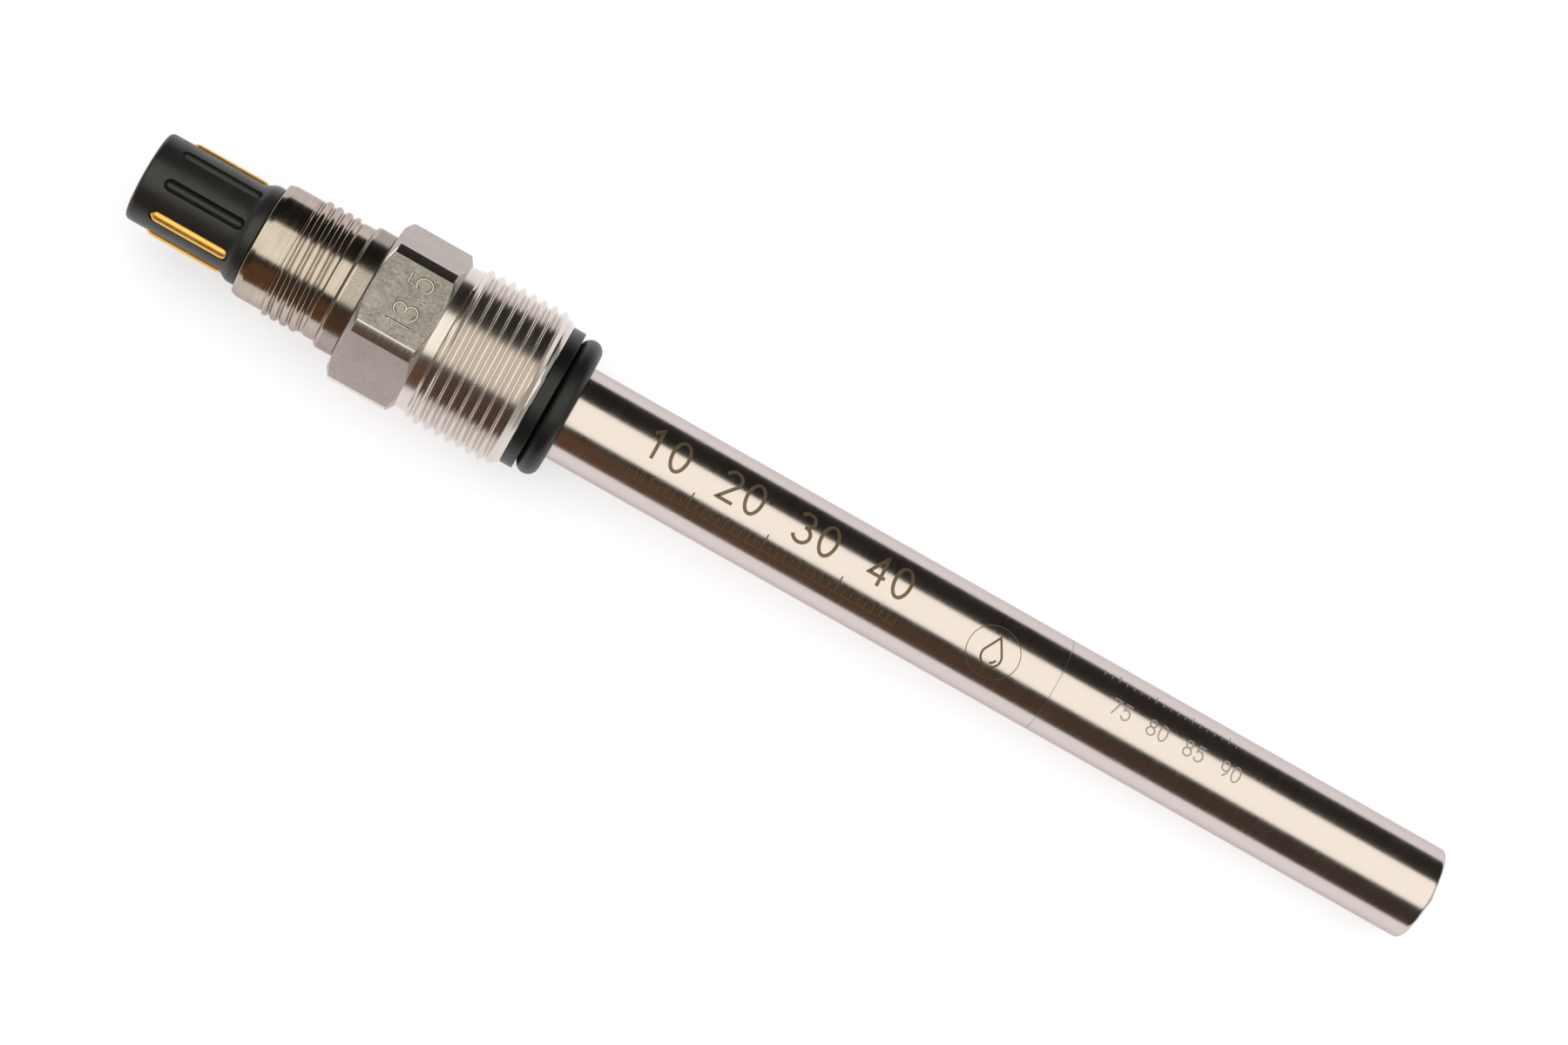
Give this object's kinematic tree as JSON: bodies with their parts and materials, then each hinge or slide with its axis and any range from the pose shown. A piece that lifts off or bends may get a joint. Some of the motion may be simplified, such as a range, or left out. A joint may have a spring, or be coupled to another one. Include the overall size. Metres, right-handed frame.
{
  "type": "water quality probe",
  "caption": "Slim stainless steel dissolved-oxygen probe with a screw-on membrane cap, a turning threaded process gland with seals, and a plug head with gold contacts.",
  "frame": {"origin": "on the probe's axis at the end face of the gland's PG 13.5 thread", "axes": "+X along the probe towards its sensing tip; +Z is the normal of one flat of the gland's hexagon"},
  "size_m": [0.1753, 0.021, 0.0204],
  "materials": {
    "polished_steel": "polished",
    "turned_steel": "fine turned",
    "ground_steel": "satin ground",
    "black_plastic": "moulded matte",
    "black_rubber": "matte",
    "gold": "gold plated",
    "grey_plastic": "moulded matte",
    "resin": "cast",
    "white_plastic": "machined",
    "silver": "satin",
    "platinum": "polished",
    "glass": "polished",
    "silicone": "smooth",
    "red_insulation": "extruded",
    "blue_insulation": "extruded",
    "white_insulation": "extruded"
  },
  "bodies": {
    "shaft": {"plug_body": "black_plastic", "contact_strip_1": "gold", "contact_strip_2": "gold", "contact_strip_3": "gold", "contact_strip_4": "gold", "plug_core": "grey_plastic", "plug_seal": "black_rubber", "head_collar": "turned_steel", "potting": "resin", "lead_anode": "red_insulation", "lead_cathode": "blue_insulation", "lead_thermistor_1": "white_insulation", "lead_thermistor_2": "white_insulation", "lead_guide": "white_plastic", "thrust_ring": "black_plastic", "seal_oring": "black_rubber", "shaft_tube": "polished_steel", "shaft_nose": "turned_steel", "inner_body": "white_plastic", "anode_tube": "silver", "glass_tip": "glass", "cathode": "platinum", "thermistor": "resin"},
    "gland": {"gland": "ground_steel"},
    "joint_seal": {"joint_oring": "black_rubber"},
    "membrane_module": {"membrane_body": "white_plastic", "membrane_oring": "black_rubber", "membrane": "silicone", "clamp_ring": "turned_steel"},
    "cap": {"cap_sleeve": "polished_steel"}
  },
  "joints": [
    {"name": "gland_turn", "type": "hinge", "parent": "shaft", "child": "gland", "pos_m": [0, 0, 0], "axis": [1, 0, 0], "continuous": true},
    {"name": "cap_travel", "type": "slide", "parent": "shaft", "child": "joint_seal", "axis": [1, 0, 0], "range_m": [0, 0.004]},
    {"name": "cap_pull", "type": "slide", "parent": "joint_seal", "child": "membrane_module", "axis": [1, 0, 0], "range_m": [0, 0.056]},
    {"name": "cap_turn", "type": "hinge", "parent": "membrane_module", "child": "cap", "pos_m": [0.07, 0, 0], "axis": [1, 0, 0], "range_deg": [0, 1440]}
  ],
  "couplings": [
    {"joint": "cap_travel", "follows": "cap_turn", "m_per_rad": 0.00015915}
  ]
}
